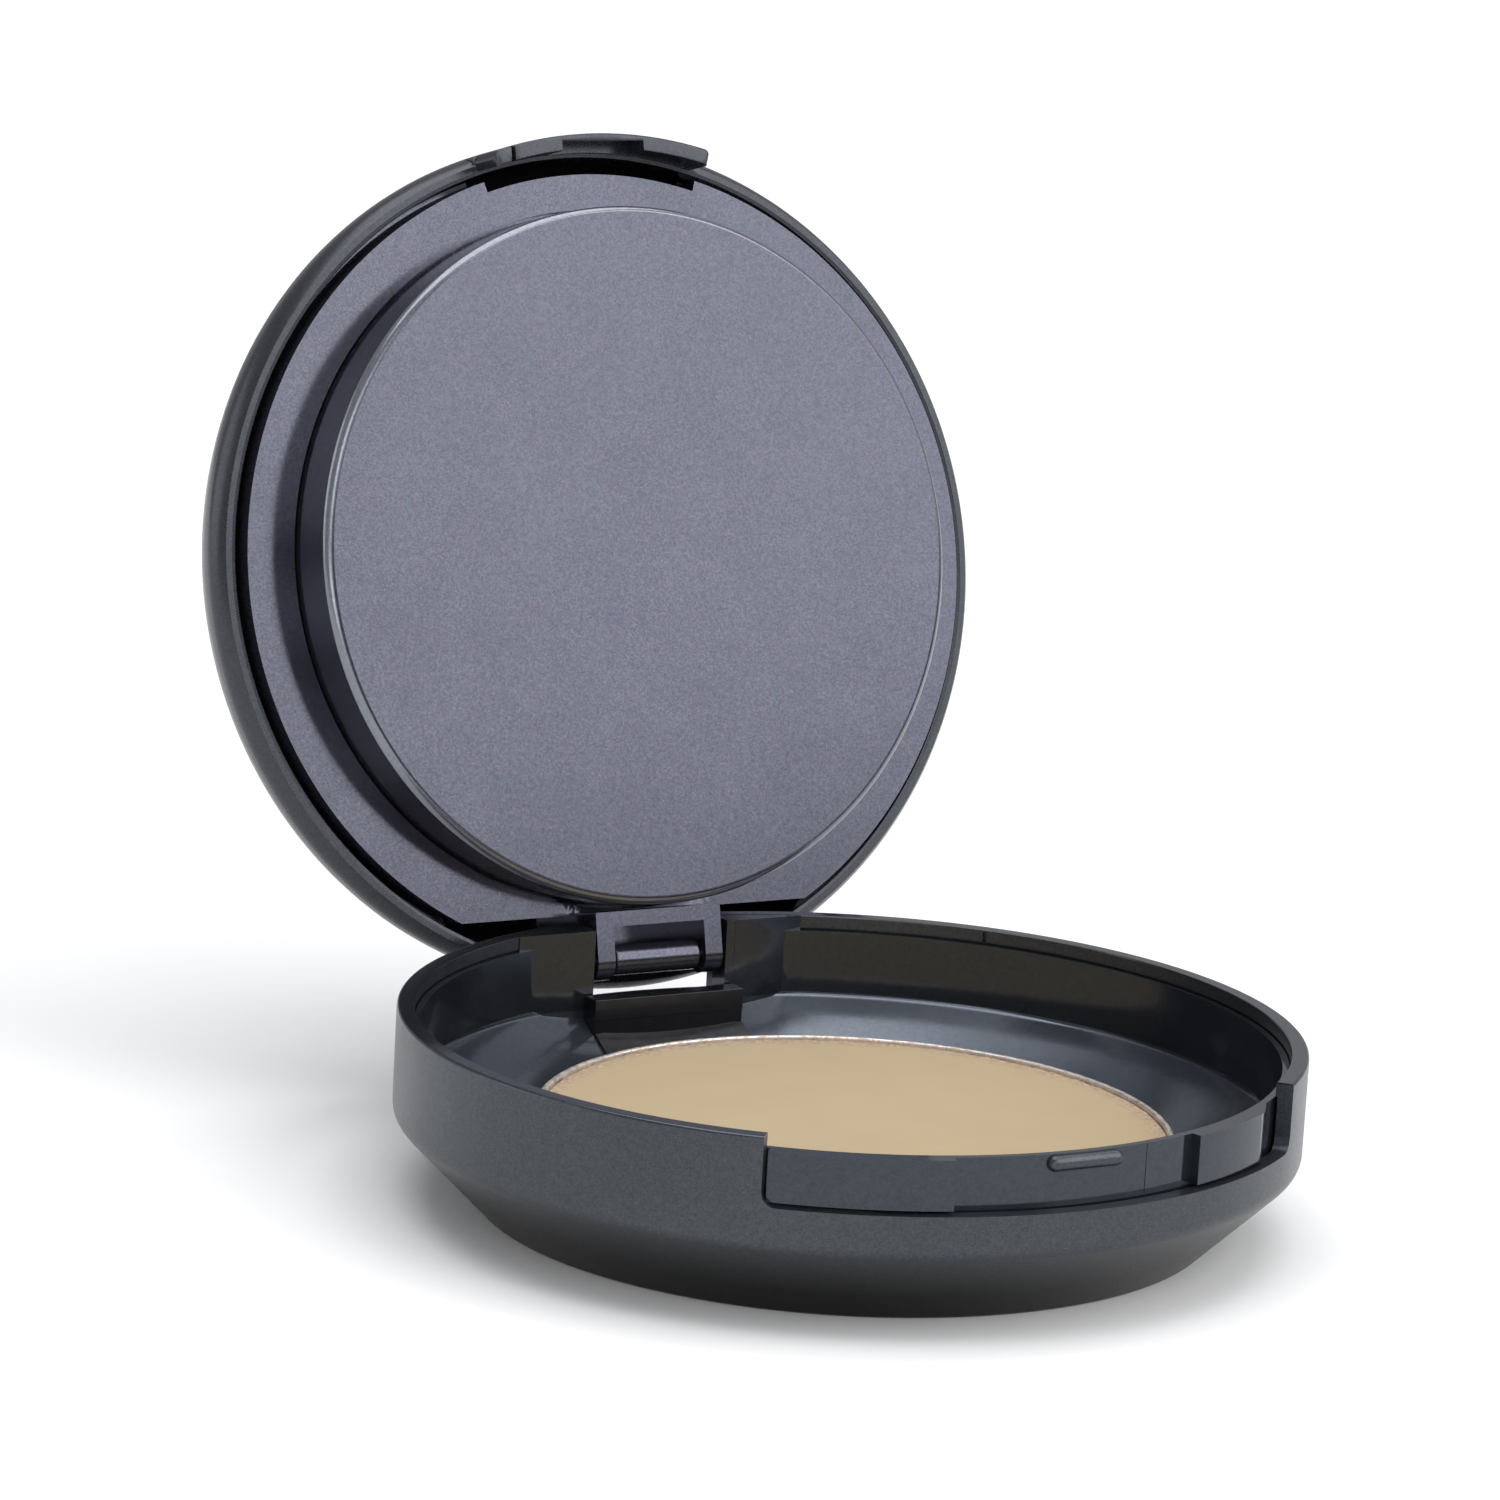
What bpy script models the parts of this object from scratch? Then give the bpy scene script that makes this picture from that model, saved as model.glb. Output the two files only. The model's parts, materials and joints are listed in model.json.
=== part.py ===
"""Pressed powder compact: a round case whose lid turns on a steel pin at the back.

Frame: millimetre dimensions turned into metres, +Z up, the case standing on z = 0.  Every
piece is made with the middle of the case on the Z axis, the latch at -Y and the hinge pin along
X at +Y.  The lid is made where it lies when shut and is then turned back to its open stop, and
at the end all of it is moved so that the open compact's footprint is centred on the origin.
"""
import math

import bmesh
import bpy
from mathutils import Matrix, Vector

MM = 0.001

# Outside of the case
CASE_R = 41.5            # outer radius of base and lid
BASE_H = 17.6            # height of the base rim
CREASE_Z = 7.9           # where the upright wall turns into the chamfer
FOOT_R = 33.6            # edge of the flat underside
SHELL_BORE_R = 40.1      # inside of the base shell's upright wall
SHELL_FLOOR_Z = 1.9

# Finger recess at the front of the base
RECESS_HALF = 40.5       # degrees either side of the front
RECESS_Z = 11.45
RECESS_CORNER_R = 1.3

# Inner frame
FRAME_OUT_R = 39.8
FRAME_IN_R = 38.8
FRAME_TOP_Z = 16.2       # 1.4 below the rim, so that it leaves a rabbet inside the rim
CHORD_Y = 36.7           # flat back wall of the inside
DECK_OUT_Z = 9.8         # foot of the wall
DECK_IN_R = 28.6
DECK_IN_Z = 4.4          # the deck falls steeply from the wall to the foot of the pan
DECK_T = 1.2
BLOCK_IN_HALF = 17.5     # degrees, inner ends of the two blocks beside the latch
BLOCK_R = 40.8
BLOCK_OUT_LEFT = -40.0
BLOCK_OUT_RIGHT = 36.5
NOTCH_HALF = 7.2
NOTCH_Z = 9.0

# Hinge bracket, a separate moulding in front of and below the hinge
BRACKET_HALF = 7.85
BRACKET_Y = 34.4
BRACKET_Z = 11.35
BRACKET_LOW_Z = 6.4
BRACKET_CREASE_Z = 9.3

# Pan
PAN_Y = -1.4
PAN_R = 29.2
PAN_T = 0.4
PAN_TOP_Z = 8.75
PAN_FLOOR_Z = 4.4
WELL_R = 29.6
WELL_FLOOR_Z = 3.4

# Hinge
PIN_Y = 38.5
PIN_Z = 14.1
PIN_R = 0.75
PIN_HALF = 9.3
BORE_R = 1.05
OPEN_DEG = 103.85        # lid opening from shut to its stop

# Lid
PARTING = 0.3            # gap between base rim and lid rim
LID_Z = BASE_H + PARTING
LID_H = 9.6
LID_RIM_R = 40.6        # outer edge of the flat rim face
LID_BELLY = 2.2         # height above the rim plane where the lid is widest
SHOULDER_R = 6.0
LID_BELLY_DEG = math.degrees(math.acos((LID_RIM_R - CASE_R + SHOULDER_R) / SHOULDER_R))
LID_BORE_R = 39.6
SHELF_R = 38.9
SHELF_Z = LID_Z - 1.15     # the shelf stands a little proud of the rim
FLANGE_R = 39.3           # flange of the plate at the bottom of the groove
HOLLOW_R = 36.0           # inside of the plate's upright wall
TAB_SHELF_R = 37.0        # shelf edge behind the tab
GROOVE_Z = LID_Z + 2.6
LID_CHORD_Y = 34.0
ROOT_HALF = 9.0           # half width of the pad that the tongue grows from
PANEL_R = 33.75
PANEL_Y = -0.35           # the panel sits slightly towards the latch
PANEL_Z = LID_Z - 7.6
TAB_HALF = 16.8          # degrees
TAB_IN_R = 40.0
TAB_Z = LID_Z - 4.3
TONGUE_HALF = 6.8
TONGUE_Z = LID_Z - 5.7

GAP = 0.3
STEPS = 64
FOOTPRINT_Y = -13.56     # centres the open compact's footprint on the origin


def clear_scene():
    for obj in list(bpy.data.objects):
        bpy.data.objects.remove(obj, do_unlink=True)


def new_collection(name):
    coll = bpy.data.collections.new(name)
    bpy.context.scene.collection.children.link(coll)
    return coll


def principled(name, colour, roughness, metallic=0.0):
    mat = bpy.data.materials.new(name)
    mat.use_nodes = True
    bsdf = mat.node_tree.nodes["Principled BSDF"]
    bsdf.inputs["Base Color"].default_value = (*colour, 1.0)
    bsdf.inputs["Roughness"].default_value = roughness
    bsdf.inputs["Metallic"].default_value = metallic
    mat.diffuse_color = (*colour, 1.0)
    return mat


def add_object(name, mesh, coll, mat=None):
    obj = bpy.data.objects.new(name, mesh)
    coll.objects.link(obj)
    if mat is not None:
        mesh.materials.append(mat)
    return obj


def bmesh_object(name, bm, coll, mat=None):
    mesh = bpy.data.meshes.new(name)
    bm.to_mesh(mesh)
    bm.free()
    return add_object(name, mesh, coll, mat)


def turned(name, profile, coll, mat=None, closed=False, steps=STEPS, centre_y=0.0):
    """Turn a profile of (radius, z) points in mm about the vertical line x = 0, y = centre_y."""
    bm = bmesh.new()
    verts = []
    for radius, z in profile:
        verts.append(bm.verts.new((radius * MM, 0.0, z * MM)))
    for first, second in zip(verts, verts[1:]):
        bm.edges.new((first, second))
    if closed:
        bm.edges.new((verts[-1], verts[0]))
    obj = bmesh_object(name, bm, coll, mat)
    obj.location.y = centre_y * MM
    screw = obj.modifiers.new("Turn", 'SCREW')
    screw.axis = 'Z'
    screw.angle = math.tau
    screw.steps = steps
    screw.render_steps = steps
    screw.use_merge_vertices = True
    screw.merge_threshold = 0.00001
    screw.use_smooth_shade = True
    return obj


def arc(cx, cz, radius, start, end, count):
    """Points of an arc in the profile plane, angles in degrees from +r towards +z."""
    points = []
    for i in range(count + 1):
        a = math.radians(start + (end - start) * i / count)
        points.append((cx + radius * math.cos(a), cz + radius * math.sin(a)))
    return points


def box(name, low, high, coll, mat=None, bevel=0.0, segments=2):
    """A box between two corners in mm."""
    bm = bmesh.new()
    bmesh.ops.create_cube(bm, size=1.0)
    size = Vector(high) - Vector(low)
    middle = (Vector(high) + Vector(low)) / 2
    bmesh.ops.scale(bm, vec=size * MM, verts=bm.verts)
    bmesh.ops.translate(bm, vec=middle * MM, verts=bm.verts)
    obj = bmesh_object(name, bm, coll, mat)
    if bevel:
        mod = obj.modifiers.new("Edges", 'BEVEL')
        mod.width = bevel * MM
        mod.segments = segments
    return obj


def rod(name, radius, centre, direction, half, coll, mat=None, sides=24):
    """A round rod of radius and half length in mm, along a direction through a centre."""
    bm = bmesh.new()
    bmesh.ops.create_cone(bm, cap_ends=True, segments=sides, radius1=radius * MM,
                          radius2=radius * MM, depth=2 * half * MM)
    turn = Vector((0, 0, 1)).rotation_difference(Vector(direction).normalized())
    bmesh.ops.transform(bm, matrix=turn.to_matrix().to_4x4(), verts=bm.verts)
    bmesh.ops.translate(bm, vec=Vector(centre) * MM, verts=bm.verts)
    return bmesh_object(name, bm, coll, mat)


def extruded(name, outline, shift, coll, mat=None):
    """A prism: a flat outline of points in mm pushed along a shift in mm."""
    bm = bmesh.new()
    verts = [bm.verts.new(Vector(point) * MM) for point in outline]
    face = bm.faces.new(verts)
    grown = bmesh.ops.extrude_face_region(bm, geom=[face])
    moved = [v for v in grown["geom"] if isinstance(v, bmesh.types.BMVert)]
    bmesh.ops.translate(bm, vec=Vector(shift) * MM, verts=moved)
    bmesh.ops.recalc_face_normals(bm, faces=bm.faces)
    return bmesh_object(name, bm, coll, mat)


def at_front(radius, angle, z):
    """A point at an angle in degrees counted from the front (-Y) towards +X."""
    a = math.radians(angle)
    return (radius * math.sin(a), -radius * math.cos(a), z)


def sector(name, r_in, r_out, z_low, z_high, start, end, coll, mat=None, step=3.0):
    """A piece of a ring between two angles."""
    count = max(2, round(abs(end - start) / step))
    outline = []
    for i in range(count + 1):
        outline.append(at_front(r_out, start + (end - start) * i / count, z_low))
    for i in range(count + 1):
        outline.append(at_front(r_in, end + (start - end) * i / count, z_low))
    return extruded(name, outline, (0, 0, z_high - z_low), coll, mat)


def combine(obj, tool, operation):
    mod = obj.modifiers.new(operation.title(), 'BOOLEAN')
    mod.operation = operation
    mod.solver = 'EXACT'
    mod.object = tool


def cut(obj, *tools):
    for tool in tools:
        combine(obj, tool, 'DIFFERENCE')


def join(obj, *tools):
    for tool in tools:
        combine(obj, tool, 'UNION')


def make_base_shell(coll, tools, mat):
    """Cup with an upright wall, a 45 degree chamfer and a flat foot ring round a label recess."""
    profile = [(0, SHELL_FLOOR_Z), (FOOT_R - 1.6, SHELL_FLOOR_Z), (SHELL_BORE_R, SHELL_FLOOR_Z + 7.1),
               (SHELL_BORE_R, BASE_H), (CASE_R - 0.25, BASE_H), (CASE_R, BASE_H - 0.25)]
    fillet = 1.6
    profile += arc(CASE_R - fillet, CREASE_Z + fillet * math.tan(math.radians(22.5)), fillet, 0, -45, 4)
    foot = 1.0
    profile += arc(FOOT_R - foot * math.tan(math.radians(22.5)), foot, foot, -45, -90, 3)
    profile += [(30.6, 0.0), (30.3, 0.6), (0, 0.6)]
    shell = turned("base_shell", profile, coll, mat)
    low = RECESS_Z
    corner = RECESS_CORNER_R
    corner_deg = math.degrees(corner / CASE_R)
    inner = RECESS_HALF - corner_deg
    lower = sector("recess_lower", 38.5, 43.5, low, low + 2 * corner, -inner, inner, tools)
    upper = sector("recess_upper", 38.5, 43.5, low + corner, BASE_H + 3, -RECESS_HALF, RECESS_HALF, tools)
    cut(shell, lower, upper)
    for side in (-1, 1):
        angle = side * inner
        cut(shell, rod("recess_corner", corner, at_front(41, angle, low + corner),
                       at_front(1, angle, 0), 2.5, tools))
    cut(shell, box("shell_notch", (-NOTCH_HALF - 0.3, 34, 10.0), (NOTCH_HALF + 0.3, 46, 22), tools),
        rod("pin_groove", BORE_R, (0, PIN_Y, PIN_Z), (1, 0, 0), PIN_HALF + GAP, tools))
    return shell


def deck_z(radius):
    return DECK_IN_Z + (DECK_OUT_Z - DECK_IN_Z) * (radius - DECK_IN_R) / (FRAME_IN_R - DECK_IN_R)


def make_inner_frame(coll, tools, mat):
    """Ring wall, sloping deck, pan well, latch wall with its nub, and the two hinge lugs."""
    low = DECK_IN_Z - DECK_T
    profile = [(DECK_IN_R, low), (DECK_IN_R, BASE_H), (FRAME_OUT_R, BASE_H), (FRAME_OUT_R, 9.25),
               (FRAME_OUT_R - 1.25, 8.0)]
    frame = turned("inner_frame", profile, coll, mat, closed=True)
    for start, end in ((BLOCK_OUT_LEFT, -BLOCK_IN_HALF), (BLOCK_IN_HALF, BLOCK_OUT_RIGHT)):
        join(frame, sector("latch_block", 39.3, BLOCK_R, RECESS_Z + 0.3, BASE_H - 0.5, start, end, tools))
    join(frame, rod("latch_nub", 0.75, (0, 0.05 - FRAME_OUT_R, 15.3), (1, 0, 0), 3.7, tools, sides=16))
    bottom = SHELL_FLOOR_Z + GAP
    join(frame, rod("pan_cup", WELL_R + 1.0, (0, PAN_Y, (bottom + 6.5) / 2), (0, 0, 1), (6.5 - bottom) / 2,
                    tools, sides=STEPS))
    cavity = turned("cavity", [(0, DECK_IN_Z), (DECK_IN_R, DECK_IN_Z), (FRAME_IN_R, DECK_OUT_Z),
                               (FRAME_IN_R, 20), (0, 20)], tools)
    cut(cavity, box("cavity_back", (-50, CHORD_Y, 0), (50, 50, 30), tools))
    cut(frame, cavity, box("rabbet", (-50, -50, FRAME_TOP_Z), (50, CHORD_Y, 30), tools))
    cut(frame, rod("pan_well", WELL_R, (0, PAN_Y, WELL_FLOOR_Z + 8), (0, 0, 1), 8, tools, sides=STEPS))
    cut(frame, box("bracket_seat", (-BRACKET_HALF - GAP, BRACKET_Y - GAP, 3), (BRACKET_HALF + GAP, CHORD_Y, 22),
                   tools),
        box("hinge_notch", (-NOTCH_HALF, BRACKET_Y, NOTCH_Z), (NOTCH_HALF, 46, 22), tools),
        rod("pin_holes", BORE_R, (0, PIN_Y, PIN_Z), (1, 0, 0), PIN_HALF + GAP, tools))
    return frame


def make_hinge_bracket(coll, tools, mat):
    """Glossy apron in front of the hinge with a foot that lies in the notch behind it."""
    front = box("hinge_bracket", (-BRACKET_HALF, BRACKET_Y, BRACKET_LOW_Z),
                (BRACKET_HALF, CHORD_Y - GAP, BRACKET_Z), coll, mat, bevel=0.5, segments=2)
    foot = box("bracket_foot", (-NOTCH_HALF + GAP, BRACKET_Y + 1.2, NOTCH_Z + GAP),
               (NOTCH_HALF - GAP, 39.3, 10.1), tools)
    join(front, foot)
    cut(front, box("bracket_step", (-9, BRACKET_Y - 1, 5), (9, BRACKET_Y + 0.1, BRACKET_CREASE_Z), tools))
    return front


def make_pan(coll, tools, mat):
    """Pressed aluminium dish."""
    profile = [(0, PAN_FLOOR_Z + PAN_T), (PAN_R - PAN_T - 0.5, PAN_FLOOR_Z + PAN_T),
               (PAN_R - PAN_T, PAN_FLOOR_Z + PAN_T + 0.5), (PAN_R - PAN_T, PAN_TOP_Z), (PAN_R, PAN_TOP_Z),
               (PAN_R, PAN_FLOOR_Z + 0.7), (PAN_R - 0.7, PAN_FLOOR_Z), (0, PAN_FLOOR_Z)]
    return turned("powder_pan", profile, coll, mat, centre_y=PAN_Y)


def make_powder(coll, tools, mat):
    """Pressed powder cake with a flat face just under the rim of the pan."""
    bottom = PAN_FLOOR_Z + PAN_T + GAP
    radius = PAN_R - PAN_T - GAP
    top = PAN_TOP_Z - 0.35
    profile = [(0, top), (radius - 0.2, top), (radius, top - 0.2), (radius, bottom + 0.6),
               (radius - 0.6, bottom), (0, bottom)]
    return turned("powder_cake", profile, coll, mat, centre_y=PAN_Y)


def make_adhesive(coll, tools, mat):
    """Round of double-sided tape that holds the pan in its well."""
    profile = [(0, PAN_FLOOR_Z - GAP), (12.0, PAN_FLOOR_Z - GAP), (12.0, WELL_FLOOR_Z + GAP),
               (0, WELL_FLOOR_Z + GAP)]
    return turned("pan_adhesive", profile, coll, mat, steps=32, centre_y=PAN_Y)


def make_label(coll, tools, mat):
    """Plain round label in the recess of the underside, clear of the surface it stands on."""
    return turned("bottom_label", [(0, 0.3), (29.0, 0.3), (29.0, 0.1), (0, 0.1)], coll, mat, steps=48)


def make_pin(coll, tools, mat):
    """Steel pin through the hinge block, the lid's two arms and the barrel between them."""
    pin = rod("hinge_pin", PIN_R, (0, PIN_Y, PIN_Z), (1, 0, 0), PIN_HALF, coll, mat, sides=20)
    pin.data.shade_smooth()
    pin.data.set_sharp_from_angle(angle=math.radians(40))
    return pin


def lid_side(start, end, count):
    """Outer curve of the lid's side between two angles; zero is the widest point."""
    points = []
    rise = LID_H - 0.9 - LID_BELLY
    middle = CASE_R - SHOULDER_R
    low_half = LID_BELLY / math.sqrt(1 - ((LID_RIM_R - middle) / SHOULDER_R) ** 2)
    for i in range(count + 1):
        a = math.radians(start + (end - start) * i / count)
        half = rise if a > 0 else low_half
        points.append((middle + SHOULDER_R * math.cos(a), LID_Z + LID_BELLY + half * math.sin(a)))
    return points


def make_lid_shell(coll, tools, mat):
    """Domed cover with a rounded side, a latch tab at the front and a relief over the hinge."""
    top = LID_Z + LID_H
    dome = CASE_R - SHOULDER_R
    profile = [(0, top)]
    for radius in (12.0, 24.0):
        profile.append((radius, top - 0.9 * (radius / dome) ** 2))
    profile += lid_side(90, 0, 7)
    profile += [(CASE_R, TAB_Z + 0.25), (CASE_R - 0.25, TAB_Z), (TAB_IN_R, TAB_Z), (TAB_IN_R, LID_Z + 0.02),
                (LID_BORE_R, LID_Z + 0.02), (LID_BORE_R, LID_Z + 3.9)]
    for i in range(1, 5):
        a = math.radians(90 * i / 4)
        profile.append((34.7 + 5.0 * math.cos(a), LID_Z + 3.9 + 3.3 * math.sin(a)))
    profile.append((0, top - 1.5))
    shell = turned("lid_shell", profile, coll, mat)
    rim = [(38, LID_Z)] + lid_side(-LID_BELLY_DEG, -0.5, 4)
    rim.append((CASE_R + 0.02, LID_Z + LID_BELLY + 0.02))
    below_rim = turned("below_rim", [(38, TAB_Z - 1)] + rim + [(44, LID_Z + LID_BELLY + 0.02), (44, TAB_Z - 1)],
                       tools, closed=True)
    cut(below_rim, sector("tab_wedge", 30, 50, TAB_Z - 3, LID_Z + 3, -TAB_HALF, TAB_HALF, tools))
    cut(shell, below_rim)
    cut(shell, box("tab_pocket", (-4.45, -40.95, TAB_Z + 0.8), (4.45, -38.0, LID_Z - 0.9), tools),
        box("tab_mouth", (-4.45, -40.75, TAB_Z - 1), (4.45, -38.0, TAB_Z + 0.9), tools),
        box("tab_slit", (-10.0, -40.6, TAB_Z - 1), (-9.55, -37.0, TAB_Z + 1.0), tools),
        rod("hinge_relief", 4.75, (0, PIN_Y, PIN_Z), (1, 0, 0), 17.0, tools, sides=48))
    return shell


def make_lid_plate(coll, tools, mat):
    """Plate inside the lid: annular shelf, flange, stepped back and the hinge tongue with its window."""
    top = GROOVE_Z + 1.0
    profile = [(30, SHELF_Z), (30, top), (FLANGE_R, top), (FLANGE_R, GROOVE_Z),
               (SHELF_R, GROOVE_Z), (SHELF_R, SHELF_Z + 0.15), (SHELF_R - 0.15, SHELF_Z)]
    plate = turned("lid_plate", profile, coll, mat, closed=True)
    cut(plate, rod("panel_hole", PANEL_R + GAP, (0, PANEL_Y, 20), (0, 0, 1), 12, tools, sides=96))
    hollow = turned("plate_hollow", [(20, SHELF_Z + 1.2), (HOLLOW_R, SHELF_Z + 1.2), (HOLLOW_R, 25), (20, 25)],
                    tools, closed=True)
    cut(hollow, box("hollow_back", (-50, LID_CHORD_Y - 1.2, 10), (50, 50, 30), tools))
    cut(plate, hollow, box("behind_chord", (-50, LID_CHORD_Y, 5), (50, 50, GROOVE_Z), tools))
    for side in (-1, 1):
        ends = sorted((side * ROOT_HALF, side * 50))
        cut(plate, box("open_back", (ends[0], LID_CHORD_Y, GROOVE_Z - 1), (ends[1], 50, 25), tools))
    cut(plate, sector("tab_clearance", TAB_SHELF_R, 45, 5, GROOVE_Z, 0.4 - TAB_HALF, TAB_HALF - 0.4, tools))
    front = LID_CHORD_Y - 0.2
    outline = [(0, front, GROOVE_Z + 0.6), (0, front, TONGUE_Z + 0.4), (0, front + 0.4, TONGUE_Z)]
    for y, z in arc(PIN_Y, PIN_Z, PIN_Z - TONGUE_Z, -90, 80, 10):
        outline.append((0, y, z))
    outline.append((0, 38.2, GROOVE_Z + 0.6))
    shifted = [(-TONGUE_HALF, y, z) for _, y, z in outline]
    tongue = extruded("tongue", shifted, (2 * TONGUE_HALF, 0, 0), tools)
    cut(tongue, box("tongue_window", (-4.95, 35.25, 5), (4.95, 45, 30), tools))
    join(plate, tongue)
    cut(plate, rod("tongue_bore", BORE_R, (0, PIN_Y, PIN_Z), (1, 0, 0), 12, tools))
    return plate


def make_barrel(coll, tools, mat):
    """Sleeve on the pin between the two arms, with chamfered ends."""
    barrel = rod("hinge_barrel", 1.5, (0, PIN_Y, PIN_Z), (1, 0, 0), 4.6, coll, mat, sides=28)
    bevel = barrel.modifiers.new("Ends", 'BEVEL')
    bevel.width = 0.35 * MM
    bevel.segments = 1
    bevel.limit_method = 'ANGLE'
    bevel.angle_limit = math.radians(60)
    cut(barrel, rod("barrel_bore", BORE_R, (0, PIN_Y, PIN_Z), (1, 0, 0), 8, tools, sides=24))
    return barrel


def make_center_panel(coll, tools, mat):
    """Raised round panel that stands down from the lid, a shallow cup with a flange behind the shelf."""
    flange = HOLLOW_R - GAP + PANEL_Y
    back = SHELF_Z + 1.2 + GAP
    fillet = 0.85
    profile = [(0, PANEL_Z + 1.2), (PANEL_R - 1.4, PANEL_Z + 1.2), (PANEL_R - 1.4, back + 1.2),
               (flange, back + 1.2), (flange, back), (PANEL_R, back)]
    profile += arc(PANEL_R - fillet, PANEL_Z + fillet, fillet, 0, -90, 5)
    profile.append((0, PANEL_Z))
    panel = turned("lid_center_panel", profile, coll, mat, centre_y=PANEL_Y)
    cut(panel, box("flange_back", (-20, LID_CHORD_Y - 1.5, back - 0.05), (20, 50, back + 5), tools))
    return panel


def open_lid(pieces):
    """Hang the lid's pieces on the pin and turn them back to the open stop."""
    hinge = bpy.data.objects.new("hinge_axis", None)
    hinge.empty_display_size = 0.01
    bpy.context.scene.collection.objects.link(hinge)
    axis = Vector((0, PIN_Y * MM, PIN_Z * MM))
    hinge.location = axis
    for piece in pieces:
        piece.parent = hinge
        piece.matrix_parent_inverse = Matrix.Translation(-axis)
    hinge.rotation_euler.x = -math.radians(OPEN_DEG)


def build():
    clear_scene()
    parts = new_collection("powder_compact")
    tools = new_collection("cutters")
    lid_tools = new_collection("lid_cutters")
    satin = (0.075, 0.085, 0.105)
    base_pieces = [
        make_base_shell(parts, tools, principled("case_satin", satin, 0.38, 0.35)),
        make_inner_frame(parts, tools, principled("frame_satin", (0.06, 0.065, 0.08), 0.32, 0.3)),
        make_hinge_bracket(parts, tools, principled("bracket_gloss", (0.012, 0.012, 0.014), 0.18)),
        make_pan(parts, tools, principled("pan_aluminium", (0.75, 0.74, 0.72), 0.3, 1.0)),
        make_powder(parts, tools, principled("pressed_powder", (0.57, 0.45, 0.28), 0.9)),
        make_adhesive(parts, tools, principled("adhesive_tape", (0.85, 0.85, 0.82), 0.8)),
        make_label(parts, tools, principled("label_film", (0.03, 0.03, 0.035), 0.5)),
        make_pin(parts, tools, principled("pin_steel", (0.55, 0.55, 0.56), 0.25, 1.0)),
    ]
    lid_pieces = [
        make_lid_shell(parts, lid_tools, principled("lid_satin", satin, 0.36, 0.35)),
        make_lid_plate(parts, lid_tools, principled("plate_satin", satin, 0.36, 0.35)),
        make_barrel(parts, lid_tools, principled("barrel_satin", (0.2, 0.2, 0.26), 0.3, 0.4)),
        make_center_panel(parts, lid_tools, principled("panel_satin", (0.21, 0.21, 0.26), 0.36, 0.4)),
    ]
    for tool in list(tools.objects) + list(lid_tools.objects):
        tool.hide_render = True
        tool.display_type = 'WIRE'
    open_lid(lid_pieces + list(lid_tools.objects))
    for obj in bpy.data.objects:
        if obj.parent is None:
            obj.location.y += FOOTPRINT_Y * MM
    for piece in base_pieces + lid_pieces:
        piece.data.shade_smooth()
        piece.data.set_sharp_from_angle(angle=math.radians(35))


build()
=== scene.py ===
"""Looks for the powder compact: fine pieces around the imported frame, paint, powder, light and camera.

Every piece is drawn in millimetres with the middle of the case on the Z axis, the latch at -Y and
the lid shut.  place() turns lid pieces back about the hinge, moves the piece to the CAD's place and
scales it to metres.
"""
import json
import math

import bmesh
import bpy
from mathutils import Matrix, Vector, noise


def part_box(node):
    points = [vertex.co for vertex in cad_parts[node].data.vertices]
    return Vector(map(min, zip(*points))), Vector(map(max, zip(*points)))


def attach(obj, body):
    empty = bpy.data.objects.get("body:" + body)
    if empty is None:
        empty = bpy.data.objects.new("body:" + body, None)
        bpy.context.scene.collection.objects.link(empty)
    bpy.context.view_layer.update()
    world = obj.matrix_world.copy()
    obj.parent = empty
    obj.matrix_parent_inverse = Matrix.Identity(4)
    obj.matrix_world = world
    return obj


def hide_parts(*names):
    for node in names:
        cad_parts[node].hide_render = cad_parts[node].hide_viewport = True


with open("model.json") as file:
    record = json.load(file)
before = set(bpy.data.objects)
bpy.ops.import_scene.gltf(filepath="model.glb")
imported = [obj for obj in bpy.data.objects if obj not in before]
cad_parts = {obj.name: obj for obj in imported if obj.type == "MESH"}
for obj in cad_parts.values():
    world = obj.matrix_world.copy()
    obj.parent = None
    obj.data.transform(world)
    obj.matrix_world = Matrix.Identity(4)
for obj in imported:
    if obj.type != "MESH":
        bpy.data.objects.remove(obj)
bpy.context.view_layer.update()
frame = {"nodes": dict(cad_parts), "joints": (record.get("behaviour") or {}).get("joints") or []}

MM = 0.001
SEG = 288                # steps round a full turn
HINGE = frame["joints"][0]
OPEN = math.radians(HINGE["range_deg"][1])
SHELL_LOW, SHELL_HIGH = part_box("base_shell")
PAN_LOW, PAN_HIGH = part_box("powder_pan")
MID_Y = (SHELL_LOW.y + SHELL_HIGH.y) / 2

# Driving sizes in mm, with angles in degrees from the front.  They are the CAD's, apart from the
# ones marked finer, which show thin walls and small details that the CAD does without.

# Outer case of the base
CASE_R = (SHELL_HIGH.x - SHELL_LOW.x) / 2 / MM
BASE_H = SHELL_HIGH.z / MM
CREASE_Z = 7.9           # where the upright wall turns into the sloping underside
FOOT_R = 33.6
LABEL_R = 30.3           # recess for the label in the underside
LABEL_DEPTH = 0.6
SHELL_FLOOR_Z = 1.9
BORE_R = 40.1
LIP_R = 39.9             # finer: inside of the rim above the ledge
SLIT = (130.7, 131.3)    # finer: start and end of the narrow slit in the rim
RECESS_HALF = 40.5
RECESS_Z = 11.45
RECESS_CORNER_R = 1.3

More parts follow.
